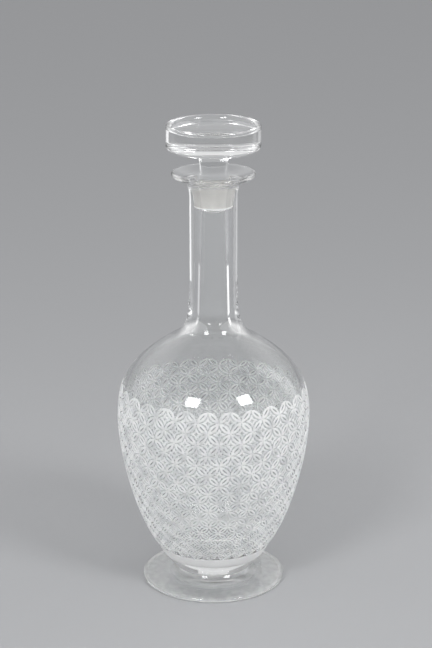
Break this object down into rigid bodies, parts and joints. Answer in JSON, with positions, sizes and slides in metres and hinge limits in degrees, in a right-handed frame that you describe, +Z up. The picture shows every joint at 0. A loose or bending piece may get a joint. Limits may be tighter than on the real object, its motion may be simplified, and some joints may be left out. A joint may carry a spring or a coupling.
{
  "type": "stoppered carafe",
  "caption": "Clear glass carafe with a rounded etched bowl, tall narrow neck, turned-out lip, disc foot and a lift-out dished stopper.",
  "frame": {"origin": "centre of the foot, on the plane that it stands on", "axes": "+Z up along the axis of the carafe, towards the stopper; the shape is round about it, so +X and +Y are free"},
  "size_m": [0.1224, 0.1224, 0.3],
  "materials": {
    "vessel_glass": "polished clear glass, acid-etched frost pattern on the bowl",
    "foot_glass": "fire-polished clear glass",
    "stopper_glass": "polished clear glass with a finely ground plug"
  },
  "bodies": {
    "carafe": {"vessel": "vessel_glass", "collar": "foot_glass", "foot": "foot_glass"},
    "stopper": {"stopper": "stopper_glass"}
  },
  "joints": [
    {"name": "stopper_lift", "type": "slide", "parent": "carafe", "child": "stopper", "axis": [0, 0, 1], "range_m": [0, 0.06]}
  ]
}
